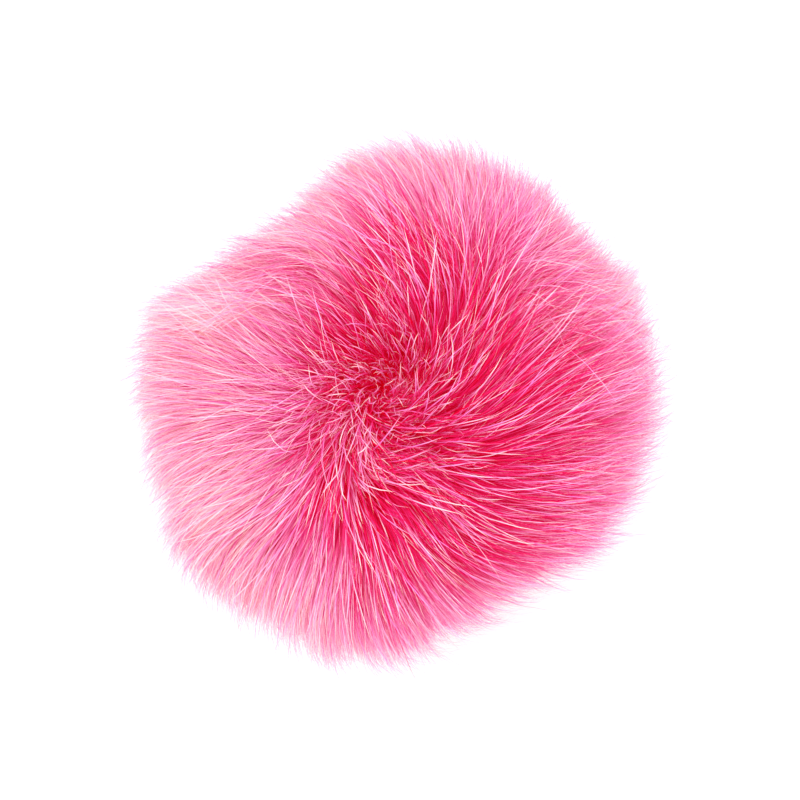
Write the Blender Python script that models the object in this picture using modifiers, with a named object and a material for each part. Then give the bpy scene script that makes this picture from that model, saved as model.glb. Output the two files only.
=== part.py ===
"""A pom pom: one gathered ball of long-pile faux fur, lying on its underside with the crown up.

Units are metres, +Z is up. The origin is the centre of the small flat spot that the ball rests on.
The solid reaches as far as the tips of the pile do, with the main lobes, the notch and the crown's
hollow that the pile falls into.
"""

from collections import namedtuple
from math import atan2, cos, degrees, exp, radians, sin, sqrt

import bmesh
import bpy
from mathutils import Vector

# Driving dimensions
BALL_WIDTH = 0.1235  # across the pile, before the lobes
BALL_HEIGHT = 0.114  # the same from crown to underside, before the flat spot is pressed in
FLAT_SPOT_WIDTH = 0.048

# The cage that is smoothed into the ball
CAGE_CUTS = 9  # across each side of the starting cube
SMOOTH_LEVELS = 1

# Finish
FUR_PINK = (0.90, 0.13, 0.29, 1.0)
FUR_ROUGHNESS = 0.85

# Where the pile stands proud of the plain ball or falls short of it. Azimuth is measured from +X
# towards +Y and elevation up from level. Across and along are how far a lobe reaches from its middle,
# level and up or down. All four are in degrees. Rise is in metres, below zero for a hollow.
Lobe = namedtuple("Lobe", "name azimuth elevation across along rise")
LOBES = (
    # around the widest part
    Lobe("right shoulder", 14, 6, 24, 30, 0.0014),
    Lobe("upper right dip", 42, 4, 9, 24, -0.0016),
    Lobe("upper right lobe", 66, 6, 13, 28, 0.0026),
    Lobe("back lobe", 94, 8, 11, 26, 0.0024),
    Lobe("notch", 125, 4, 21, 52, -0.0092),
    Lobe("left lobe", 174, 4, 13, 34, 0.0014),
    Lobe("left dip", 196, 6, 9, 24, -0.0016),
    Lobe("lower left lobe", 217, 2, 12, 30, 0.0032),
    Lobe("front lobe", 257, 4, 16, 34, 0.0022),
    Lobe("lower right flat", 300, 0, 20, 44, -0.0066),
    Lobe("right flank", 338, 8, 14, 30, -0.0014),
    # over the top
    Lobe("crown hollow", 131, 82, 16, 16, -0.0046),
    Lobe("parting", 286, 58, 9, 26, -0.0030),
    Lobe("back brow", 75, 55, 24, 18, 0.0020),
    Lobe("right brow", 350, 52, 26, 20, 0.0020),
    Lobe("left brow", 190, 52, 24, 18, 0.0020),
    Lobe("front brow", 246, 38, 16, 20, 0.0014),
    # beneath
    Lobe("front right underside", 330, -38, 20, 16, -0.0016),
    Lobe("right underside", 20, -38, 18, 18, 0.0014),
    Lobe("back underside", 80, -34, 18, 18, -0.0014),
    Lobe("back left underside", 178, -38, 18, 16, 0.0014),
    Lobe("left underside", 225, -38, 18, 16, -0.0016),
    Lobe("front underside", 268, -40, 16, 18, 0.0016),
)
LOBE_FALL = 3  # how squarely a lobe ends, from 2, a soft bell, upwards


def direction(azimuth, elevation):
    """The unit vector at these angles, in degrees."""
    level = cos(radians(elevation))
    return Vector(
        (level * cos(radians(azimuth)), level * sin(radians(azimuth)), sin(radians(elevation)))
    )


def lobe_rise(lobe, towards):
    """What one lobe adds in this direction."""
    middle = direction(lobe.azimuth, lobe.elevation)
    upward = direction(lobe.azimuth, lobe.elevation + 90)
    sideways = upward.cross(middle)
    ahead = towards.dot(middle)
    across = degrees(atan2(towards.dot(sideways), ahead)) / lobe.across
    along = degrees(atan2(towards.dot(upward), ahead)) / lobe.along
    return lobe.rise * exp(-(abs(across) ** LOBE_FALL) - abs(along) ** LOBE_FALL)


def pile_reach(towards):
    """The point that the tips of the pile reach in this direction, from the ball's centre."""
    plain = Vector(
        (
            towards.x * BALL_WIDTH / 2,
            towards.y * BALL_WIDTH / 2,
            towards.z * BALL_HEIGHT / 2,
        )
    )
    rise = sum(lobe_rise(lobe, towards) for lobe in LOBES)
    return plain + towards * rise


def clear_scene():
    for thing in list(bpy.data.objects):
        bpy.data.objects.remove(thing, do_unlink=True)


def new_collection(name):
    collection = bpy.data.collections.new(name)
    bpy.context.scene.collection.children.link(collection)
    return collection


def fur_material():
    material = bpy.data.materials.new("faux_fur")
    material.use_nodes = True
    shader = material.node_tree.nodes["Principled BSDF"]
    shader.inputs["Base Color"].default_value = FUR_PINK
    shader.inputs["Roughness"].default_value = FUR_ROUGHNESS
    shader.inputs["Metallic"].default_value = 0.0
    return material


def table_cutter(collection):
    """A block whose top is the surface that the ball lies on."""
    depth = BALL_HEIGHT
    mesh = bpy.data.meshes.new("table_cutter")
    block = bmesh.new()
    bmesh.ops.create_cube(block, size=1.0)
    bmesh.ops.scale(block, vec=(BALL_WIDTH * 2, BALL_WIDTH * 2, depth), verts=block.verts)
    bmesh.ops.translate(block, vec=(0, 0, -depth / 2), verts=block.verts)
    block.to_mesh(mesh)
    block.free()
    cutter = bpy.data.objects.new("table_cutter", mesh)
    cutter.hide_render = True
    cutter.display_type = "WIRE"
    collection.objects.link(cutter)
    return cutter


def fur_ball(collection, cutter):
    """The ball, from a cube's even cage: blown up to the pile's reach, smoothed and set down flat."""
    mesh = bpy.data.meshes.new("fur_ball")
    cage = bmesh.new()
    bmesh.ops.create_cube(cage, size=1.0)
    bmesh.ops.subdivide_edges(cage, edges=cage.edges, cuts=CAGE_CUTS, use_grid_fill=True)
    for vert in cage.verts:
        vert.co = pile_reach(vert.co.normalized())
    cage.to_mesh(mesh)
    cage.free()
    mesh.shade_smooth()
    mesh.materials.append(fur_material())

    ball = bpy.data.objects.new("fur_ball", mesh)
    # the centre's height at which the pressed-in spot has its width
    pressed = sqrt(1 - (FLAT_SPOT_WIDTH / BALL_WIDTH) ** 2)
    ball.location.z = BALL_HEIGHT / 2 * pressed
    collection.objects.link(ball)

    smooth = ball.modifiers.new("smooth", "SUBSURF")
    smooth.levels = SMOOTH_LEVELS
    smooth.render_levels = SMOOTH_LEVELS
    press = ball.modifiers.new("press flat", "BOOLEAN")
    press.operation = "DIFFERENCE"
    press.solver = "EXACT"
    press.object = cutter
    return ball


def main():
    clear_scene()
    parts = new_collection("pom pom")
    cutters = new_collection("cutters")
    fur_ball(parts, table_cutter(cutters))


main()
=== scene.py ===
# A pom pom of long-pile faux fur: a stuffed ball with its pile combed round a whorl at the crown.
from math import acos, cos, exp, pi, radians, sin, sqrt

import bmesh
import bpy
from mathutils import Matrix, Vector, noise
from mathutils.bvhtree import BVHTree


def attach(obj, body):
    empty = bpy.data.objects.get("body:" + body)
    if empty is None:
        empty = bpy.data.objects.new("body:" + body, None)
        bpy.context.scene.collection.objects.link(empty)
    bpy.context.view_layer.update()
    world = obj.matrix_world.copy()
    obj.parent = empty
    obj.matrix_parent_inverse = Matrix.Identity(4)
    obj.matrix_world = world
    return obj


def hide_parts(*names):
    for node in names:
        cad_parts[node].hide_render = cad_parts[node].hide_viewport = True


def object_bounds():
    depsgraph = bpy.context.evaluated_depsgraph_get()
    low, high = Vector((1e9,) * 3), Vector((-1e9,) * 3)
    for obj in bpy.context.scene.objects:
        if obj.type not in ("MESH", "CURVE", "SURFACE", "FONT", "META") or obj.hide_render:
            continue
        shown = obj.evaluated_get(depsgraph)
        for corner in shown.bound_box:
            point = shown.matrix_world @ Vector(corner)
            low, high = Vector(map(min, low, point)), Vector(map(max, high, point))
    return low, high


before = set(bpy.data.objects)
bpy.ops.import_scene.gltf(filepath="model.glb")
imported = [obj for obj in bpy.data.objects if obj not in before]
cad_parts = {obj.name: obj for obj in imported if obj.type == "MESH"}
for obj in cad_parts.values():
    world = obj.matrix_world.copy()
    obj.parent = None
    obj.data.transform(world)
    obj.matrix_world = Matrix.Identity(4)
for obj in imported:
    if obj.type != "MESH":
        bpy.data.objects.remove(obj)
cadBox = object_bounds()
mm = 0.001
ruffleSeed = 8    # which pattern of unevenness the pile has
noise.seed_set(ruffleSeed)    # without this, vector noise starts from the clock and no two runs agree


def hexColour(text):
    # sRGB hex to the linear colour that nodes take
    parts = [int(text[i:i + 2], 16) / 255 for i in (1, 3, 5)]
    linear = [c / 12.92 if c <= 0.04045 else ((c + 0.055) / 1.055) ** 2.4 for c in parts]
    return (*linear, 1.0)


def addNode(tree, kind, inputs=None, **settings):
    # inputs are keyed by name or number; a value is a constant, a socket, or a node, whose first live
    # output is taken
    node = tree.nodes.new(kind)
    for key, value in settings.items():
        setattr(node, key, value)
    for key, value in (inputs or {}).items():
        if isinstance(key, int):
            socket = node.inputs[key]
        else:
            socket = next(s for s in node.inputs if s.enabled and s.name == key)
        if isinstance(value, bpy.types.Node):
            value = next(s for s in value.outputs if s.enabled)
        if isinstance(value, bpy.types.NodeSocket):
            tree.links.new(value, socket)
        else:
            socket.default_value = value
    return node


def newMaterial(name, **shaderValues):
    # the shader's plain values are set on its own sockets
    material = bpy.data.materials.new(name)
    material.use_nodes = True
    shader = material.node_tree.nodes["Principled BSDF"]
    for key, value in shaderValues.items():
        shader.inputs[key].default_value = value
    return material, material.node_tree, shader


def meshObject(name, mesh):
    thing = bpy.data.objects.new(name, mesh)
    bpy.context.scene.collection.objects.link(thing)
    return thing


# the ball's reach, read from its solid
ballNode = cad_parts["fur_ball"]
ballShape = BVHTree.FromPolygons(
    [ballNode.matrix_world @ v.co for v in ballNode.data.vertices],
    [tuple(p.vertices) for p in ballNode.data.polygons],
)
low, high = cadBox
middleHeight = 0.494    # of the ball's height
ballCentre = Vector(((low.x + high.x) / 2, (low.y + high.y) / 2, high.z * middleHeight))


def reachOf(direction):
    # how far the pile reaches from the ball's centre in this direction
    return ballShape.ray_cast(ballCentre, direction)[3]


# how the pile is combed; places are mm right of and behind the middle, seen from above
comb = {
    "parting": ((-3, -1), (-4, -2)),  # the whorl, a short line that the pile is combed away from
    "partingLean": 8,     # degrees that a tip lies along the ball from its root, on the parting
    "fullLean": 30,       # where the pile lies most
    "edgeLean": 16,       # far from the parting, where the pile stands out
    "leastLean": 3,       # what its unevenness never takes it below
    "leanRise": 24,       # degrees from the parting over which it grows
    "leanFade": 66,       # and over which it dies away
    "swirl": 20,          # degrees that the pile turns anticlockwise, seen from above
    "leanRuffle": 9,      # degrees of unevenness, about one tuft wide
    "turnRuffle": 20,
    "ruffleSize": 12 * mm,
    "whorlRuffle": 70,    # beside the parting, where small tufts lie every way
    "whorlTuft": 6 * mm,
    "whorlReach": 11,     # degrees from the parting
    "unrulyMost": 0.70,   # how tousled the pile is at the parting
    "unrulyLeast": 0.27,  # and elsewhere
    "unrulyFade": 24,     # degrees from the parting over which it settles
    "tuftLeast": 0.3,     # how far locks gather at the parting, where 1 is their full pull
    "tuftMost": 0.6,      # and on the sides
    "tuftRise": 45,       # degrees from the parting over which it grows
    "outmost": 11.5 * mm,  # how far a stray fibre may stand out past the solid's box
}

# each patch: name, right, behind, reach in mm, how much
# turn, in degrees
combStrokes = (
    ("whorl", -3, -1, 10, 38),
    ("whorl's lower side", -5, -7, 4, 60),
    ("right of the crown", 13, 4, 15, 36),
    ("below the whorl", 1, -14, 7, 60),
    ("below the whorl, right", 16, -13, 9, 30),
    ("left of the whorl, below", -15, -9, 6, 50),
    ("behind the crown", 6, 20, 12, 20),
    ("behind the crown, right", 18, 24, 9, 36),
    ("behind", 6, 40, 16, 30),
    ("behind, at the rim", 2, 52, 12, 24),
    ("left side", -28, 0, 14, -54),
    ("lower left", -22, -24, 12, -38),
    ("lower right", 26, -22, 18, 28),
    ("bottom, right", 20, -42, 14, 32),
    ("right of the valley", -8, -24, 7, 106),
    ("valley to the notch", -24, 31, 11, 92),
    ("upper right flank", 34, 25, 10, -85),
)
# how tousled
tousledPatches = (
    ("upper right", 26, 24, 11, 1.2),
    ("right", 34, 0, 12, 0.2),
    ("lower right", 28, -28, 10, 0.4),
    ("left of the whorl", -17, -4, 8, 0.9),
)
# length, as a share of the pile's; where it is shorter it also stands thinner
trimPatches = (
    ("whorl", -1, 1, 9, -0.52),
    ("valley", 2, -17, 5, -0.20),
    ("lower valley", 8, -30, 6, -0.16),
    ("right pocket", 19, 8, 4, -0.20),
    ("left pocket", -15, 12, 4, -0.16),
)
# how far the pile is pressed in, as a share of its reach
dentPatches = (
    ("whorl", -1, 1, 7, -0.07),
    ("valley", 3, -18, 4, -0.05),
    ("lower valley", 8, -30, 4, -0.05),
    ("right pocket", 19, 8, 3, -0.05),
    ("notch", -47, 31, 5, -0.15),
    ("valley to the notch, left", -43, 24, 4, -0.14),
    ("valley to the notch, middle", -38, 27, 4, -0.14),
    ("valley to the notch, right", -31, 30, 4, -0.10),
)
# shade of the tips, where 1 is from the deepest to the palest; it spreads along the fibres
shadePatches = (
    ("whorl", 0, 1, 12, -1.15),
    # painted shade in a hollow: tips darkened in the left pocket
    ("left pocket", -16, 10, 6, -0.50),
    ("left of the crown, behind", -26, 14, 8, -0.25),
    ("pale wisps behind the whorl", 5, 6, 4, 1.40),
    ("right of the tuft", -5, -12, 5, -0.75),
    # painted shade in the valleys, where the pile is pressed in and cut short
    ("valley", 5, -21, 6, -0.85),
    ("lower valley", 9, -42, 6, -1.00),
    ("pale tuft", -13, -20, 4, 2.00),
    ("foot of the pale tuft", -7, -25, 4, 0.25),
    # paler on the left: partly the rim's pale tips, partly a painted highlight on the side the light falls
    # from
    ("left shoulder", -38, -2, 15, 0.38),
    ("left rim", -52, -4, 20, 0.92),
    ("lower left rim", -40, -34, 12, 0.46),
    # painted shade between locks: tips darkened in the gaps
    ("gap, left", -31, -24, 7, -0.40),
    ("gap, lower left", -21, -38, 5, -1.60),
    ("behind the crown", 7, 33, 16, -0.66),
    ("behind the crown, left", -12, 36, 6, -0.55),
    ("rim behind", 8, 52, 14, 0.48),
    ("rim behind, left", -34, 46, 12, 0.20),
    ("rim behind, right", 42, 31, 13, 0.48),
    # deeper on the right: partly the pile's own deeper pink, partly painted shade on the side away from the
    # light
    ("right", 36, 6, 9, -0.38),
    ("pale lock, bottom", -1, -34, 4, 1.30),
    ("bottom", 3, -46, 15, -0.78),
    # deeper on the lower right: partly the pile's own deeper pink, partly painted shade on the side away from
    # the light
    ("lower right", 20, -19, 17, -0.90),
    ("rim, lower right", 32, -28, 13, -0.68),
    # painted shadow: tips darkened along the crease from the valley to the notch, where the fold's shade
    # falls
    ("valley to the notch, left", -44, 22, 4, -1.30),
    ("valley to the notch, middle", -39, 25, 4, -1.20),
    ("valley to the notch, right", -33, 28, 3, -0.80),
    ("crest behind the valley", -27, 34, 5, 0.80),
)
# how much fibres differ in shade and how thick they are, more or less than elsewhere
boldPatches = (
    ("crown", 0, 0, 26, 0.60),
    ("bottom", 0, -36, 17, 1.40),
    ("lower left", -28, -32, 13, 1.10),
    ("lower right", 28, -22, 16, 0.30),
    ("left side", -42, 8, 18, -0.25),
    ("behind", 6, 34, 14, 0.60),
)
# how far locks gather
tuftPatches = (
    ("lower left", -28, -36, 15, 1.6),
    ("bottom", 0, -44, 14, 1.6),
    ("pale tuft", -13, -20, 6, 0.8),
    ("valley to the notch", -38, 34, 10, 0.6),
)
# how thick the short curled fibres stand
curlPatches = (
    ("whorl", -2, 1, 10, 1.0),
    ("parting", -10, -13, 7, 0.7),
    ("valley", 5, -22, 8, 0.6),
    ("left of the whorl", -17, -4, 8, 0.9),
    ("upper right", 26, 24, 10, 0.8),
    ("lower right", 28, -28, 8, 0.3),
)
planRadius = 60    # mm, of the sphere that these places are read on
patchFade = 3      # how steeply patches fade out towards that sphere's widest, where places crowd together
partingSteps = 12  # points on each stretch of the parting
onParting = 1e-4   # nearer than this to the parting, no way leads from it


def seenFromAbove(right, back):
    # the direction from the ball's centre of a place given in mm, seen from above
    return Vector((right, back, sqrt(max(planRadius ** 2 - right ** 2 - back ** 2, 1)))).normalized()


def partingDirections():
    line = []
    for (x0, y0), (x1, y1) in zip(comb["parting"], comb["parting"][1:]):
        for i in range(partingSteps):
            share = i / partingSteps
            line.append(seenFromAbove(x0 + (x1 - x0) * share, y0 + (y1 - y0) * share))
    line.append(seenFromAbove(*comb["parting"][-1]))
    return line


partingLine = partingDirections()


def bell(distance, reach):
    return exp(-((distance / reach) ** 2))


def patchSum(direction, patches):
    # what the named patches add here; they are on the upper half only
    if direction.z <= 0:
        return 0.0
    x = direction.x * planRadius
    y = direction.y * planRadius
    total = 0.0
    for _, right, back, reach, extra in patches:
        total += extra * bell(sqrt((x - right) ** 2 + (y - back) ** 2), reach)
    return total * min(1, direction.z * patchFade)


def fromParting(direction):
    # the parting's nearest point, and the angle to it
    nearest = max(partingLine, key=direction.dot)
    return nearest, acos(max(-1, min(1, direction.dot(nearest))))


def combedWay(direction):
    # the unit way along the ball that the pile is combed here
    nearest, apart = fromParting(direction)
    away = direction * direction.dot(nearest) - nearest
    if away.length < onParting:
        away = Vector((1, 0, 0)) - direction * direction.x
    ruffle = noise.noise_vector(direction * planRadius * mm / comb["ruffleSize"]).x
    whorl = noise.noise_vector(direction * planRadius * mm / comb["whorlTuft"]).z
    turn = comb["swirl"] + patchSum(direction, combStrokes) + comb["turnRuffle"] * ruffle
    turn += comb["whorlRuffle"] * whorl * bell(apart, radians(comb["whorlReach"]))
    return Matrix.Rotation(radians(turn), 3, direction) @ away.normalized()


def combedLean(direction, apart):
    # radians along the ball from a fibre's root to its tip
    lean = comb["edgeLean"] + (comb["fullLean"] - comb["edgeLean"]) * bell(apart, radians(comb["leanFade"]))
    lean += (comb["partingLean"] - comb["fullLean"]) * bell(apart, radians(comb["leanRise"]))
    lean += comb["leanRuffle"] * noise.noise_vector(direction * planRadius * mm / comb["ruffleSize"]).y
    return radians(max(lean, comb["leastLean"]))


def alongBall(direction, way, angle):
    return (direction * cos(angle) + way * sin(angle)).normalized()


undercoat = {
    "share": 0.66,          # of the pile's reach
    "partingShare": 0.10,   # more beside the parting, where the pile is thin
    "partingReach": 24,     # degrees that this goes out to
    "detail": 6,            # icosphere steps
    "bendShare": 0.34,      # how far along the lean a fibre bends over
    "bendRise": 0.80,       # how much of its height it has there
    "fill": 0.8,
    "deepRed": "#C50008",
    "brightRed": "#E00418",
    "speck": 1.1 * mm,      # coarser than the real fibres, so that it shows
    "speckDetail": 3.0,
    "deepBelow": 0.35,      # of the speck pattern, which runs from 0 to 1
    "brightAbove": 0.7,
    "bump": 0.6 * mm,
    "bumpStrength": 0.8,
}

paleTips = {
    "crown": -0.06,       # 0 for the deepest pink, 1 for the palest
    "side": 1.60,         # more, from the crown to the sides
    "sideEnd": 0.3,       # below this height it gets no paler; 0 is the widest, 1 the crown
    # painted light: tips paler towards the left and behind, where the light falls from
    "left": 0.42,         # more on the left, less on the right, as painted light
    "behind": 0.08,
    "patchy": 0.10,       # unevenly, in patches
    "radiusInPatches": 3.1,
    "least": -0.90,
    "most": 1.3,
    "evenSides": 0.8,     # how much bolder the crown's fibres are, in shade and width, than the sides'
    "evenEnd": 0.1,       # below this height they get no more even
    "leastBold": 0.15,
}


def paleness(direction):
    pale = paleTips["crown"] + paleTips["side"] * (1 - max(direction.z, paleTips["sideEnd"]))
    # painted light: paler towards the left and behind, where the light falls from, deeper towards the right
    # and front
    pale -= paleTips["left"] * direction.x
    patchiness = noise.noise(direction * paleTips["radiusInPatches"])
    pale += paleTips["behind"] * direction.y + paleTips["patchy"] * patchiness
    pale += patchSum(direction, shadePatches)
    return max(paleTips["least"], min(paleTips["most"], pale))


def boldness(direction):
    even = paleTips["evenSides"] * (1 - max(direction.z, paleTips["evenEnd"]))
    return max(paleTips["leastBold"], 1 - even + patchSum(direction, boldPatches))


def growSkin():
    # the undercoat's surface, which carries where a fibre rooted at each point bends and ends
    mesh = bpy.data.meshes.new("undercoat")
    bm = bmesh.new()
    bmesh.ops.create_icosphere(bm, subdivisions=undercoat["detail"], radius=1.0)
    bends, tips, pales, bolds, unrulies, curls, trims, tufts = [], [], [], [], [], [], [], []
    for vert in bm.verts:
        direction = vert.co.normalized()
        _, apart = fromParting(direction)
        lean = combedLean(direction, apart)
        bendWay = alongBall(direction, combedWay(direction), lean * undercoat["bendShare"])
        tipWay = alongBall(bendWay, combedWay(bendWay), lean * (1 - undercoat["bendShare"]))
        share = undercoat["share"]
        share += undercoat["partingShare"] * bell(apart, radians(undercoat["partingReach"]))
        rise = undercoat["share"] + (1 - undercoat["share"]) * undercoat["bendRise"]
        tousled = comb["unrulyLeast"]
        tousled += (comb["unrulyMost"] - comb["unrulyLeast"]) * bell(apart, radians(comb["unrulyFade"]))
        share += patchSum(direction, dentPatches)
        vert.co = ballCentre + direction * reachOf(direction) * share
        bends.append(ballCentre + bendWay * reachOf(bendWay) * (rise + patchSum(bendWay, dentPatches)))
        tips.append(ballCentre + tipWay * reachOf(tipWay) * (1 + patchSum(tipWay, dentPatches)))
        pales.append(paleness(tipWay))
        bolds.append(boldness(tipWay))
        unrulies.append(tousled + patchSum(direction, tousledPatches))
        curls.append(patchSum(direction, curlPatches))
        trims.append(1 + patchSum(direction, trimPatches))
        tuft = comb["tuftMost"]
        tuft += (comb["tuftLeast"] - comb["tuftMost"]) * bell(apart, radians(comb["tuftRise"]))
        tufts.append(tuft + patchSum(direction, tuftPatches))
    bm.to_mesh(mesh)
    bm.free()
    for name, values in (("bendPoint", bends), ("tipPoint", tips)):
        layer = mesh.attributes.new(name, "FLOAT_VECTOR", "POINT")
        layer.data.foreach_set("vector", [c for v in values for c in v])
    for name, values in (
        ("paleness", pales), ("boldness", bolds), ("unruly", unrulies),
        ("curly", curls), ("trim", trims), ("tuft", tufts),
    ):
        layer = mesh.attributes.new(name, "FLOAT", "POINT")
        layer.data.foreach_set("value", values)
    mesh.shade_smooth()
    return mesh


skinMesh = growSkin()
skinArea = sum(p.area for p in skinMesh.polygons)
skinLayers = ("bendPoint", "tipPoint", "paleness", "boldness", "unruly", "curly", "trim", "tuft")
print(f"undercoat grown: {len(skinMesh.vertices)} points, {skinArea * 1e6:.0f} mm2")

fibreInputs = (
    ("Per Area", "Float"), ("Only Curly", "Float"), ("Segments", "Int"), ("Width", "Float"),
    ("Taper", "Float"), ("Shortest", "Float"), ("Longest", "Float"), ("Few Long", "Float"),
    ("Stray", "Float"), ("Bow", "Float"), ("Lock Size", "Float"), ("Lock Pull", "Float"),
    ("Lock Shade", "Float"), ("Wave", "Float"), ("Wave Size", "Float"),
    ("Curl", "Float"), ("Curl Turns", "Float"), ("Paleness", "Float"), ("Shade Shift", "Float"),
    ("Shade Spread", "Float"), ("Few Pale", "Float"), ("Floor Gap", "Float"), ("Seed", "Int"),
    ("Material", "Material"),
)


# what every piece's fibres share
strand = {
    "lengthwiseLost": 0.8,   # of a lock's pull along its fibres, so that it draws them sideways
    "thicken": 0.5,          # how far a fibre's width follows its boldness
    "leastPull": 0.4,        # of a lock's pull, for the fibres that follow it least
    "bendPull": 0.35,        # how far bends follow their tips into a lock
    "tipOutLost": 0.8,       # of a stray tip's move out of the ball or into it
    "bendOutLost": 0.6,      # and of a bend's
    "stepPower": 0.7,        # under 1, steps get closer towards the tip
    "tipStart": 0.999,       # beyond this share of its height a ribbon is one point wide
    "weldWithin": 0.01,      # of a ribbon two wide and one high
    "ownWave": 0.5,          # how far a fibre's wave is its own, in wave sizes
    "waveRun": 1.2,          # how far its wave changes from root to tip
    "mapEnds": 0.02,         # left free at the colour map's root and tip ends
    "mapSides": 0.03,        # and at its deepest and palest sides
    "mapRow": 0.006,         # half of the height that one fibre takes on it
}


def allWays(value):
    return (value, value, value)


def fibreTree():
    # scatters roots over the undercoat, works out each fibre's curve and lays a ribbon along it, which is
    # flat, pointed and open at its edges, as the fibre is itself flat
    tree = bpy.data.node_groups.new("grow fibres", "GeometryNodeTree")
    tree.interface.new_socket("Geometry", in_out="INPUT", socket_type="NodeSocketGeometry")
    for name, kind in fibreInputs:
        tree.interface.new_socket(name, in_out="INPUT", socket_type="NodeSocket" + kind)
    tree.interface.new_socket("Geometry", in_out="OUTPUT", socket_type="NodeSocketGeometry")
    given = addNode(tree, "NodeGroupInput").outputs
    number = "ShaderNodeMath"
    vector = "ShaderNodeVectorMath"
    mix = "ShaderNodeMix"
    chance = "FunctionNodeRandomValue"
    layer = "GeometryNodeInputNamedAttribute"
    store = "GeometryNodeStoreNamedAttribute"

    # roots; "Only Curly" keeps them to the patches of short curled fibres
    curly = addNode(tree, layer, {"Name": "curly"}, data_type="FLOAT")
    share = addNode(tree, mix, {"Factor": given["Only Curly"], "A": 1.0, "B": curly}, data_type="FLOAT")
    density = addNode(tree, number, {0: given["Per Area"], 1: share}, operation="MULTIPLY")
    trim = addNode(tree, layer, {"Name": "trim"}, data_type="FLOAT")
    density = addNode(tree, number, {0: density, 1: trim}, operation="MULTIPLY")
    roots = addNode(
        tree, "GeometryNodeDistributePointsOnFaces",
        {"Mesh": given["Geometry"], "Density": density, "Seed": given["Seed"]}, distribute_method="RANDOM",
    )

    # locks: tips near each other are drawn sideways to one middle, and share a shade
    bend = addNode(tree, layer, {"Name": "bendPoint"}, data_type="FLOAT_VECTOR")
    tip = addNode(tree, layer, {"Name": "tipPoint"}, data_type="FLOAT_VECTOR")
    cellAt = addNode(tree, vector, {0: tip, 1: given["Lock Size"]}, operation="DIVIDE")
    cell = addNode(
        tree, "ShaderNodeTexVoronoi", {"Vector": cellAt, "Scale": 1.0, "Randomness": 1.0},
        voronoi_dimensions="3D", feature="F1",
    )
    lockMiddle = addNode(
        tree, vector, {0: cell.outputs["Position"], 1: given["Lock Size"]}, operation="MULTIPLY"
    )
    inward = addNode(tree, vector, {0: lockMiddle, 1: tip}, operation="SUBTRACT")
    run = addNode(tree, vector, {0: tip, 1: bend}, operation="SUBTRACT")
    lengthwise = addNode(tree, vector, {0: inward, 1: run}, operation="PROJECT")
    sideways = addNode(
        tree, vector, {0: lengthwise, 1: allWays(-strand["lengthwiseLost"]), 2: inward},
        operation="MULTIPLY_ADD",
    )
    pull = addNode(tree, chance, {"Min": strand["leastPull"], "Max": 1.0, "Seed": 11}, data_type="FLOAT")
    pull = addNode(tree, number, {0: pull, 1: given["Lock Pull"]}, operation="MULTIPLY")
    tuft = addNode(tree, layer, {"Name": "tuft"}, data_type="FLOAT")
    pull = addNode(tree, number, {0: pull, 1: tuft}, operation="MULTIPLY")
    bendPull = addNode(tree, number, {0: pull, 1: strand["bendPull"]}, operation="MULTIPLY")

    # strays: tips and bends are moved at random along the ball, more where the pile is tousled
    unruly = addNode(tree, layer, {"Name": "unruly"}, data_type="FLOAT")
    stray = addNode(tree, number, {0: given["Stray"], 1: unruly}, operation="MULTIPLY")
    bow = addNode(tree, number, {0: given["Bow"], 1: unruly}, operation="MULTIPLY")
    anyWay = {"Min": allWays(-1), "Max": allWays(1)}
    tipChance = addNode(tree, chance, {**anyWay, "Seed": 21}, data_type="FLOAT_VECTOR")
    bendChance = addNode(tree, chance, {**anyWay, "Seed": 31}, data_type="FLOAT_VECTOR")
    outward = addNode(tree, vector, {0: tip, 1: tuple(ballCentre)}, operation="SUBTRACT")
    tipOut = addNode(tree, vector, {0: tipChance, 1: outward}, operation="PROJECT")
    tipChance = addNode(
        tree, vector, {0: tipOut, 1: allWays(-strand["tipOutLost"]), 2: tipChance},
        operation="MULTIPLY_ADD",
    )
    bendOut = addNode(tree, vector, {0: bendChance, 1: outward}, operation="PROJECT")
    bendChance = addNode(
        tree, vector, {0: bendOut, 1: allWays(-strand["bendOutLost"]), 2: bendChance},
        operation="MULTIPLY_ADD",
    )
    tipAt = addNode(tree, vector, {0: tipChance, 1: stray, 2: tip}, operation="MULTIPLY_ADD")
    tipAt = addNode(tree, vector, {0: sideways, 1: pull, 2: tipAt}, operation="MULTIPLY_ADD")
    bendAt = addNode(tree, vector, {0: bendChance, 1: bow, 2: bend}, operation="MULTIPLY_ADD")
    bendAt = addNode(tree, vector, {0: sideways, 1: bendPull, 2: bendAt}, operation="MULTIPLY_ADD")

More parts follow.
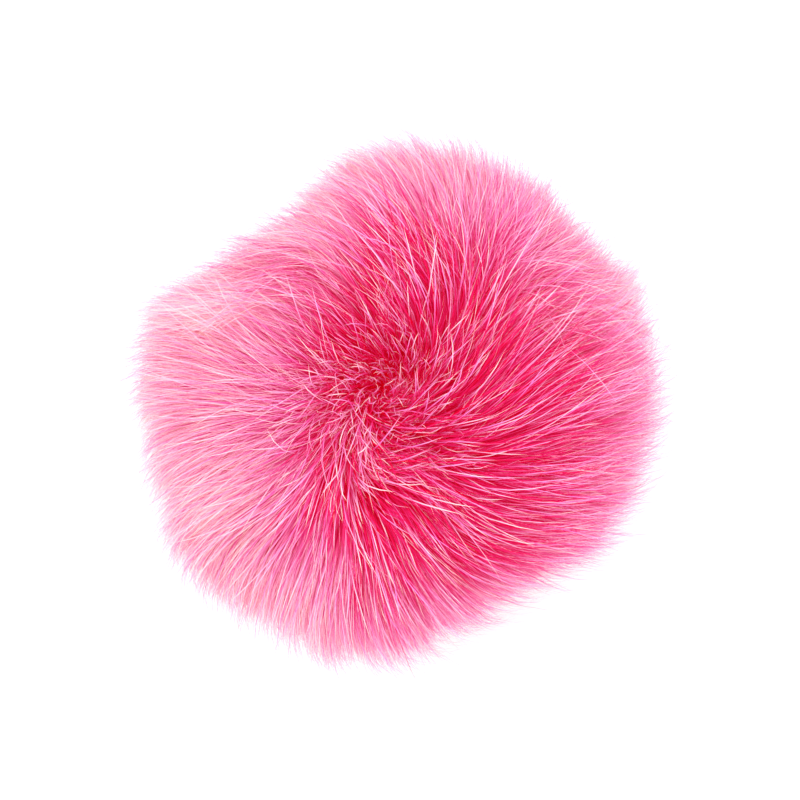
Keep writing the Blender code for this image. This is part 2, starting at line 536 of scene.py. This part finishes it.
    # most fibres are short and deep, a few are long or pale
    lengthChance = addNode(tree, chance, {"Min": 0.0, "Max": 1.0, "Seed": 41}, data_type="FLOAT")
    lengthChance = addNode(tree, number, {0: lengthChance, 1: given["Few Long"]}, operation="POWER")
    cut = addNode(
        tree, mix, {"Factor": lengthChance, "A": given["Shortest"], "B": given["Longest"]}, data_type="FLOAT"
    )
    cut = addNode(tree, number, {0: cut, 1: trim}, operation="MULTIPLY")
    shadeChance = addNode(tree, chance, {"Min": 0.0, "Max": 1.0, "Seed": 51}, data_type="FLOAT")
    shadeChance = addNode(tree, number, {0: shadeChance, 1: given["Few Pale"]}, operation="POWER")
    bold = addNode(tree, layer, {"Name": "boldness"}, data_type="FLOAT")
    shadeChance = addNode(tree, number, {0: shadeChance, 1: bold}, operation="MULTIPLY")
    paleness = addNode(tree, layer, {"Name": "paleness"}, data_type="FLOAT")
    shade = addNode(
        tree, number, {0: paleness, 1: given["Paleness"], 2: given["Shade Shift"]}, operation="MULTIPLY_ADD"
    )
    shade = addNode(
        tree, number, {0: shadeChance, 1: given["Shade Spread"], 2: shade}, operation="MULTIPLY_ADD"
    )
    lockShade = addNode(tree, "ShaderNodeSeparateXYZ", {0: cell.outputs["Color"]})
    lockShade = addNode(tree, number, {0: lockShade, 1: 0.5}, operation="SUBTRACT")
    lockShade = addNode(tree, number, {0: lockShade, 1: tuft}, operation="MULTIPLY")
    shade = addNode(
        tree, number, {0: lockShade, 1: given["Lock Shade"], 2: shade},
        operation="MULTIPLY_ADD", use_clamp=True,
    )

    thicken = strand["thicken"]
    thickness = addNode(tree, number, {0: bold, 1: thicken, 2: 1 - thicken}, operation="MULTIPLY_ADD")
    kept = roots
    for name, kind, value in (
        ("rootAt", "FLOAT_VECTOR", addNode(tree, "GeometryNodeInputPosition")),
        ("bendAt", "FLOAT_VECTOR", bendAt),
        ("tipAt", "FLOAT_VECTOR", tipAt),
        ("cut", "FLOAT", cut),
        ("shade", "FLOAT", shade),
        ("bold", "FLOAT", thickness),
        ("roll", "FLOAT", addNode(tree, chance, {"Min": -1.0, "Max": 1.0, "Seed": 61}, data_type="FLOAT")),
        ("own", "FLOAT_VECTOR", addNode(tree, chance, {"Seed": 71}, data_type="FLOAT_VECTOR")),
    ):
        kept = addNode(
            tree, store, {"Geometry": kept, "Name": name, "Value": value}, data_type=kind, domain="POINT"
        )

    # the straight ribbon: two points wide, one at its tip, with its steps closer where it shows
    steps = addNode(tree, number, {0: given["Segments"], 1: 1.0}, operation="ADD")
    ribbon = addNode(
        tree, "GeometryNodeMeshGrid", {"Size X": 2.0, "Size Y": 1.0, "Vertices X": 2, "Vertices Y": steps}
    )
    flat = addNode(tree, "ShaderNodeSeparateXYZ", {0: addNode(tree, "GeometryNodeInputPosition")})
    height = addNode(tree, number, {0: flat.outputs["Y"], 1: 0.5}, operation="ADD", use_clamp=True)
    beforeTip = addNode(tree, number, {0: height, 1: strand["tipStart"]}, operation="LESS_THAN")
    narrow = addNode(tree, number, {0: flat.outputs["X"], 1: beforeTip}, operation="MULTIPLY")
    height = addNode(tree, number, {0: height, 1: strand["stepPower"]}, operation="POWER")
    stood = addNode(tree, "ShaderNodeCombineXYZ", {"X": narrow, "Z": height})
    ribbon = addNode(tree, "GeometryNodeSetPosition", {"Geometry": ribbon, "Position": stood})
    ribbon = addNode(
        tree, "GeometryNodeMergeByDistance", {"Geometry": ribbon, "Distance": strand["weldWithin"]}
    )
    shape = addNode(tree, "ShaderNodeSeparateXYZ", {0: addNode(tree, "GeometryNodeInputPosition")})
    for name, value in (("across", shape.outputs["X"]), ("along", shape.outputs["Z"])):
        ribbon = addNode(
            tree, store, {"Geometry": ribbon, "Name": name, "Value": value}, data_type="FLOAT", domain="POINT"
        )
    fibres = addNode(tree, "GeometryNodeInstanceOnPoints", {"Points": kept, "Instance": ribbon})
    fibres = addNode(tree, "GeometryNodeRealizeInstances", {"Geometry": fibres})

    # each point's place on its fibre's curve, root to bend to tip
    a = addNode(tree, layer, {"Name": "rootAt"}, data_type="FLOAT_VECTOR")
    b = addNode(tree, layer, {"Name": "bendAt"}, data_type="FLOAT_VECTOR")
    c = addNode(tree, layer, {"Name": "tipAt"}, data_type="FLOAT_VECTOR")
    own = addNode(tree, layer, {"Name": "own"}, data_type="FLOAT_VECTOR")
    along = addNode(tree, layer, {"Name": "along"}, data_type="FLOAT")
    across = addNode(tree, layer, {"Name": "across"}, data_type="FLOAT")
    roll = addNode(tree, layer, {"Name": "roll"}, data_type="FLOAT")
    cut = addNode(tree, layer, {"Name": "cut"}, data_type="FLOAT")
    length = addNode(tree, number, {0: along, 1: cut}, operation="MULTIPLY")
    blend = {"data_type": "VECTOR", "clamp_factor": False}
    near = addNode(tree, mix, {"Factor": length, "A": a, "B": b}, **blend)
    far = addNode(tree, mix, {"Factor": length, "A": b, "B": c}, **blend)
    place = addNode(tree, mix, {"Factor": length, "A": near, "B": far}, **blend)

    # the ribbon's width lies across its bend, so that its face looks out from the ball
    tangent = addNode(tree, vector, {0: far, 1: near}, operation="SUBTRACT")
    toTip = addNode(tree, vector, {0: c, 1: a}, operation="SUBTRACT")
    toBend = addNode(tree, vector, {0: b, 1: a}, operation="SUBTRACT")
    side = addNode(tree, vector, {0: toTip, 1: toBend}, operation="CROSS_PRODUCT")
    side = addNode(tree, vector, {0: side}, operation="NORMALIZE")
    widthWay = addNode(tree, "ShaderNodeVectorRotate", {"Vector": side, "Axis": tangent, "Angle": roll})
    left = addNode(tree, number, {0: 1.0, 1: along}, operation="SUBTRACT")
    width = addNode(tree, number, {0: left, 1: given["Taper"]}, operation="MULTIPLY", use_clamp=True)
    width = addNode(tree, number, {0: width, 1: given["Width"]}, operation="MULTIPLY")
    bold = addNode(tree, layer, {"Name": "bold"}, data_type="FLOAT")
    width = addNode(tree, number, {0: width, 1: bold}, operation="MULTIPLY")
    width = addNode(tree, number, {0: width, 1: 0.5}, operation="MULTIPLY")
    width = addNode(tree, number, {0: width, 1: across}, operation="MULTIPLY")
    place = addNode(tree, vector, {0: widthWay, 1: width, 2: place}, operation="MULTIPLY_ADD")

    # a wave mostly shared by neighbours, and a curl of the fibre's own
    waveAt = addNode(tree, vector, {0: a, 1: given["Wave Size"]}, operation="DIVIDE")
    ownWave = allWays(strand["ownWave"])
    waveRun = (strand["waveRun"], 0.0, 0.0)
    waveAt = addNode(tree, vector, {0: own, 1: ownWave, 2: waveAt}, operation="MULTIPLY_ADD")
    waveAt = addNode(tree, vector, {0: along, 1: waveRun, 2: waveAt}, operation="MULTIPLY_ADD")
    wave = addNode(tree, "ShaderNodeTexNoise", {"Vector": waveAt, "Scale": 1.0, "Detail": 1.0})
    wave = addNode(tree, vector, {0: wave.outputs["Color"], 1: (0.5, 0.5, 0.5)}, operation="SUBTRACT")
    waveReach = addNode(tree, number, {0: given["Wave"], 1: along}, operation="MULTIPLY")
    place = addNode(tree, vector, {0: wave, 1: waveReach, 2: place}, operation="MULTIPLY_ADD")
    turns = addNode(tree, number, {0: given["Curl Turns"], 1: 2 * pi}, operation="MULTIPLY")
    phase = addNode(tree, number, {0: roll, 1: 2 * pi}, operation="MULTIPLY")
    turned = addNode(tree, number, {0: turns, 1: along, 2: phase}, operation="MULTIPLY_ADD")
    curlWay = addNode(tree, "ShaderNodeVectorRotate", {"Vector": side, "Axis": tangent, "Angle": turned})
    curlReach = addNode(tree, number, {0: given["Curl"], 1: along}, operation="MULTIPLY")
    place = addNode(tree, vector, {0: curlWay, 1: curlReach, 2: place}, operation="MULTIPLY_ADD")

    # nothing goes through what the ball lies on, and no stray fibre stands far out past the rest
    outmost = Vector(allWays(comb["outmost"]))
    lowCorner = low - outmost
    lowest = addNode(
        tree, "ShaderNodeCombineXYZ", {"X": lowCorner.x, "Y": lowCorner.y, "Z": given["Floor Gap"]}
    )
    place = addNode(tree, vector, {0: place, 1: lowest}, operation="MAXIMUM")
    place = addNode(tree, vector, {0: place, 1: tuple(high + outmost)}, operation="MINIMUM")
    fibres = addNode(tree, "GeometryNodeSetPosition", {"Geometry": fibres, "Position": place})

    # the colour map: root to tip across, shade up, so that a fibre is one thin row of it
    u = addNode(
        tree, "ShaderNodeMapRange",
        {"Value": along, "To Min": strand["mapEnds"], "To Max": 1 - strand["mapEnds"]},
    )
    row = addNode(tree, layer, {"Name": "shade"}, data_type="FLOAT")
    row = addNode(
        tree, "ShaderNodeMapRange",
        {"Value": row, "To Min": strand["mapSides"], "To Max": 1 - strand["mapSides"]},
    )
    row = addNode(tree, number, {0: across, 1: strand["mapRow"], 2: row}, operation="MULTIPLY_ADD")
    spot = addNode(tree, "ShaderNodeCombineXYZ", {"X": u, "Y": row})
    fibres = addNode(
        tree, store, {"Geometry": fibres, "Name": "OFBake", "Value": spot},
        data_type="FLOAT2", domain="CORNER",
    )
    fibres = addNode(tree, "GeometryNodeSetShadeSmooth", {"Geometry": fibres})
    fibres = addNode(tree, "GeometryNodeRealizeInstances", {"Geometry": fibres})
    fibres = addNode(tree, "GeometryNodeSetMaterial", {"Geometry": fibres, "Material": given["Material"]})
    addNode(tree, "NodeGroupOutput", {"Geometry": fibres})
    return tree


growFibres = fibreTree()
fibreLayers = skinLayers + (
    "rootAt", "bendAt", "tipAt", "cut", "roll", "shade", "bold", "own", "along", "across",
)


def growPiece(name, piece, material):
    # the fibres of one piece, as a plain mesh
    carrier = meshObject(name + "Roots", skinMesh.copy())
    modifier = carrier.modifiers.new("grow", "NODES")
    modifier.node_group = growFibres
    sockets = {s.name: s.identifier for s in growFibres.interface.items_tree if s.in_out == "INPUT"}
    for key, value in piece.items():
        if key != "Fibres":
            modifier[sockets[key]] = value
    modifier[sockets["Per Area"]] = piece["Fibres"] / skinArea
    modifier[sockets["Material"]] = material
    grown = carrier.evaluated_get(bpy.context.evaluated_depsgraph_get())
    mesh = bpy.data.meshes.new_from_object(grown)
    mesh.name = name
    for work in fibreLayers:
        if work in mesh.attributes:
            mesh.attributes.remove(mesh.attributes[work])
    carrier.modifiers.remove(modifier)
    bpy.data.objects.remove(carrier, do_unlink=True)
    grownPiece = meshObject(name, mesh)
    mesh.calc_loop_triangles()
    print(f"{name}: {len(mesh.loop_triangles)} triangles")
    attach(grownPiece, "root")


def fibreMaterial(name, deep, middle, pale, **shaderValues):
    # each of the three is (share of the fibre's length, colour) stops, for the deepest to the palest fibres
    material, tree, shader = newMaterial(name, **shaderValues)
    uv = addNode(tree, "ShaderNodeUVMap", uv_map="OFBake")
    parts = addNode(tree, "ShaderNodeSeparateXYZ", {0: uv})
    ramps = []
    for stops in (deep, middle, pale):
        ramp = addNode(tree, "ShaderNodeValToRGB", {"Fac": parts.outputs["X"]})
        while len(ramp.color_ramp.elements) < len(stops):
            ramp.color_ramp.elements.new(0.5)
        for element, (along, colour) in zip(ramp.color_ramp.elements, stops):
            element.position = strand["mapEnds"] + (1 - 2 * strand["mapEnds"]) * along
            element.color = hexColour(colour)
        ramps.append(ramp)
    shade = parts.outputs["Y"]
    lower = addNode(tree, "ShaderNodeMapRange", {"Value": shade, "From Min": 0.0, "From Max": 0.5})
    upper = addNode(tree, "ShaderNodeMapRange", {"Value": shade, "From Min": 0.5, "From Max": 1.0})
    mix = "ShaderNodeMix"
    colour = addNode(tree, mix, {"Factor": lower, "A": ramps[0], "B": ramps[1]}, data_type="RGBA")
    colour = addNode(tree, mix, {"Factor": upper, "A": colour, "B": ramps[2]}, data_type="RGBA")
    tree.links.new(next(s for s in colour.outputs if s.enabled), shader.inputs["Base Color"])
    return material


# acrylic pile, dyed pink and bleached at its tips, matt; its red emission is a painted glow, which fills the
# shade in the gaps with red
pileMaterial = fibreMaterial(
    "acrylic pile, dyed and tipped",
    deep=((0.0, "#CC0008"), (0.5, "#CC0026"), (0.8, "#CC0C64"), (1.0, "#D02076")),
    middle=((0.0, "#CC0018"), (0.5, "#D02E7C"), (0.8, "#D880C0"), (1.0, "#E8AEBE")),
    pale=((0.0, "#CC0028"), (0.5, "#D24EA2"), (0.7, "#DC9AC6"), (0.87, "#E8C4CA"), (1.0, "#F0DEC4")),
    **{"Roughness": 0.6, "IOR": 1.49, "Specular IOR Level": 0.02,
       "Emission Color": hexColour("#FF0030"), "Emission Strength": 0.17},
)
# the same fibre, stiffer and left paler, which gives single light hairs over the pile
guardMaterial = fibreMaterial(
    "acrylic guard hair, pale tipped",
    deep=((0.0, "#CC0028"), (0.5, "#CC1C66"), (0.75, "#D06CBA"), (1.0, "#DCA8C6")),
    middle=((0.0, "#CC0438"), (0.5, "#D04C94"), (0.75, "#DA98D0"), (1.0, "#E8C6DA")),
    pale=((0.0, "#CC0848"), (0.5, "#D070B0"), (0.75, "#DEB8CE"), (1.0, "#F0E2D4")),
    # the guard hairs' red emission is the same painted glow, filling their shade with red
    **{"Roughness": 0.45, "IOR": 1.49, "Specular IOR Level": 0.2,
       "Emission Color": hexColour("#FF0030"), "Emission Strength": 0.17},
)

# Fibres is how many would cover the whole ball evenly, so far fewer of the curls grow, only in their patches;
# Shortest and Longest are shares of the pile's own length, and what is times mm is a real size
underPile = {
    "Fibres": 54000, "Segments": 2, "Width": 0.25 * mm, "Taper": 2.0, "Shortest": 0.40, "Longest": 0.78,
    "Few Long": 1.0, "Stray": 6 * mm, "Bow": 4 * mm, "Lock Size": 7 * mm, "Lock Pull": 0.2,
    "Lock Shade": 0.1, "Wave": 2 * mm, "Wave Size": 9 * mm, "Curl": 0.2 * mm, "Curl Turns": 0.5,
    "Paleness": 1.0, "Shade Shift": -0.4, "Shade Spread": 0.1, "Few Pale": 3.0, "Floor Gap": 0.5 * mm,
    "Seed": 3,
}
growPiece("underPile", underPile, pileMaterial)

lowerPile = {
    "Fibres": 39000, "Segments": 3, "Width": 0.19 * mm, "Taper": 1.8, "Shortest": 0.55, "Longest": 0.94,
    "Few Long": 1.0, "Stray": 7 * mm, "Bow": 4 * mm, "Lock Size": 7 * mm, "Lock Pull": 0.35,
    "Lock Shade": 0.3, "Wave": 2 * mm, "Wave Size": 9 * mm, "Curl": 0.3 * mm, "Curl Turns": 0.5,
    "Paleness": 1.2, "Shade Shift": -0.38, "Shade Spread": 0.4, "Few Pale": 5.0, "Floor Gap": 0.4 * mm,
    "Seed": 11,
}
growPiece("lowerPile", lowerPile, pileMaterial)

middlePile = {
    "Fibres": 39000, "Segments": 3, "Width": 0.16 * mm, "Taper": 2.0, "Shortest": 0.64, "Longest": 1.10,
    "Few Long": 1.2, "Stray": 8 * mm, "Bow": 5 * mm, "Lock Size": 7 * mm, "Lock Pull": 0.35,
    "Lock Shade": 0.5, "Wave": 2 * mm, "Wave Size": 10 * mm, "Curl": 0.4 * mm, "Curl Turns": 0.6,
    "Paleness": 1.1, "Shade Shift": -0.18, "Shade Spread": 1.4, "Few Pale": 5.0, "Floor Gap": 0.3 * mm,
    "Seed": 23,
}
growPiece("middlePile", middlePile, pileMaterial)

topPile = {
    "Fibres": 28000, "Segments": 4, "Width": 0.15 * mm, "Taper": 3.0, "Shortest": 0.66, "Longest": 1.48,
    "Few Long": 2.4, "Stray": 9 * mm, "Bow": 5 * mm, "Lock Size": 7 * mm, "Lock Pull": 0.35,
    "Lock Shade": 0.5, "Wave": 2 * mm, "Wave Size": 12 * mm, "Curl": 0.4 * mm, "Curl Turns": 0.7,
    "Paleness": 1.1, "Shade Shift": -0.05, "Shade Spread": 2.0, "Few Pale": 5.0, "Floor Gap": 0.3 * mm,
    "Seed": 37,
}
growPiece("topPile", topPile, pileMaterial)

guardHairs = {
    "Fibres": 21000, "Segments": 5, "Width": 0.17 * mm, "Taper": 6.0, "Shortest": 0.60, "Longest": 1.30,
    "Few Long": 1.7, "Stray": 11 * mm, "Bow": 5 * mm, "Lock Size": 7 * mm, "Lock Pull": 0.2,
    "Lock Shade": 0.35, "Wave": 1.4 * mm, "Wave Size": 12 * mm, "Curl": 0.3 * mm, "Curl Turns": 0.8,
    "Paleness": 1.0, "Shade Shift": 0.05, "Shade Spread": 2.1, "Few Pale": 2.8, "Floor Gap": 0.3 * mm,
    "Seed": 53,
}
growPiece("guardHairs", guardHairs, guardMaterial)

crownCurls = {
    "Fibres": 66000, "Only Curly": 1.0, "Segments": 6, "Width": 0.16 * mm, "Taper": 6.0,
    "Shortest": 0.35, "Longest": 0.85, "Few Long": 1.0, "Stray": 7 * mm, "Bow": 4 * mm,
    "Lock Size": 8 * mm, "Lock Pull": 0.1, "Lock Shade": 0.1, "Wave": 3 * mm, "Wave Size": 8 * mm,
    "Curl": 1.2 * mm, "Curl Turns": 0.9, "Paleness": 0.4, "Shade Shift": 0.0, "Shade Spread": 2.2,
    "Few Pale": 4.0, "Floor Gap": 0.3 * mm, "Seed": 67,
}
growPiece("crownCurls", crownCurls, guardMaterial)


def undercoatMaterial():
    # short dense acrylic undercoat, brushed up: matt bright crimson, broken into specks
    # its red emission is a painted glow, which fills the shade deep in the pile with red
    material, tree, shader = newMaterial(
        "acrylic undercoat, brushed up",
        **{"Roughness": 0.9, "Specular IOR Level": 0.05,
           "Emission Color": hexColour("#FF0020"), "Emission Strength": 0.34},
    )
    place = addNode(tree, "ShaderNodeTexCoord").outputs["Object"]
    specks = addNode(
        tree, "ShaderNodeTexNoise",
        {"Vector": place, "Scale": 1 / undercoat["speck"], "Detail": undercoat["speckDetail"]},
    )
    ramp = addNode(tree, "ShaderNodeValToRGB", {"Fac": specks})
    ramp.color_ramp.elements[0].position = undercoat["deepBelow"]
    ramp.color_ramp.elements[0].color = hexColour(undercoat["deepRed"])
    ramp.color_ramp.elements[1].position = undercoat["brightAbove"]
    ramp.color_ramp.elements[1].color = hexColour(undercoat["brightRed"])
    tree.links.new(ramp.outputs["Color"], shader.inputs["Base Color"])
    bump = addNode(
        tree, "ShaderNodeBump",
        {"Height": specks, "Distance": undercoat["bump"], "Strength": undercoat["bumpStrength"]},
    )
    tree.links.new(bump.outputs["Normal"], shader.inputs["Normal"])
    return material


def makeUndercoat():
    mesh = skinMesh.copy()
    mesh.name = "undercoat"
    for work in skinLayers:
        mesh.attributes.remove(mesh.attributes[work])
    mesh.materials.append(undercoatMaterial())
    ball = meshObject("undercoat", mesh)
    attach(ball, "root")
    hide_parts("fur_ball")


makeUndercoat()
print("pile grown")

studio = {
    "elevation": 85,            # the camera's, above the horizon
    "lens": 85,
    "frameWidth": 184.4 * mm,   # what the picture is wide, at the ball's widest
    "aim": (0.8 * mm, 0.0),     # right of and behind the ball's middle
    "nearest": 0.01,            # the camera sees from here
    "farthest": 20,             # to here
    "floorSize": 4.0,
    "floorColour": "#FAFAFA",
    "roomLight": 1.35,
    "key": {"place": (-0.25, 0.18, 0.85), "size": 0.5, "power": 2.8},
    "fill": {"place": (0.4, -0.3, 0.7), "size": 0.6, "power": 1.1},
}


def makeFloor():
    mesh = bpy.data.meshes.new("floor")
    bm = bmesh.new()
    bmesh.ops.create_grid(bm, x_segments=1, y_segments=1, size=studio["floorSize"] / 2)
    bm.to_mesh(mesh)
    bm.free()
    # matt card, which gives soft shadows and no reflection
    material, _, shader = newMaterial("white card, matt", Roughness=0.9)
    shader.inputs["Base Color"].default_value = hexColour(studio["floorColour"])
    mesh.materials.append(material)
    meshObject("floor", mesh)


def addLight(name, light):
    data = bpy.data.lights.new(name, "AREA")
    data.size = light["size"]
    data.energy = light["power"]
    lamp = bpy.data.objects.new(name, data)
    lamp.location = light["place"]
    lamp.rotation_mode = "QUATERNION"
    lamp.rotation_quaternion = (ballCentre - lamp.location).to_track_quat("-Z", "Y")
    bpy.context.scene.collection.objects.link(lamp)


def makeRoomLight():
    world = bpy.data.worlds.new("soft room")
    world.use_nodes = True
    background = world.node_tree.nodes["Background"]
    background.inputs["Color"].default_value = (1, 1, 1, 1)
    background.inputs["Strength"].default_value = studio["roomLight"]
    bpy.context.scene.world = world


def makeCamera():
    data = bpy.data.cameras.new("camera")
    data.lens = studio["lens"]
    data.clip_start = studio["nearest"]
    data.clip_end = studio["farthest"]
    distance = studio["frameWidth"] * data.lens / data.sensor_width
    upTilt = radians(studio["elevation"])
    back = Vector((0, -cos(upTilt), sin(upTilt)))
    camera = bpy.data.objects.new("camera", data)
    camera.location = ballCentre + Vector((*studio["aim"], 0)) + back * distance
    camera.rotation_mode = "QUATERNION"
    camera.rotation_quaternion = (-back).to_track_quat("-Z", "Y")
    bpy.context.scene.collection.objects.link(camera)
    bpy.context.scene.camera = camera


makeFloor()
addLight("key", studio["key"])
addLight("fill", studio["fill"])
makeRoomLight()
makeCamera()
bpy.context.scene.view_settings.view_transform = "Standard"
print("studio set")
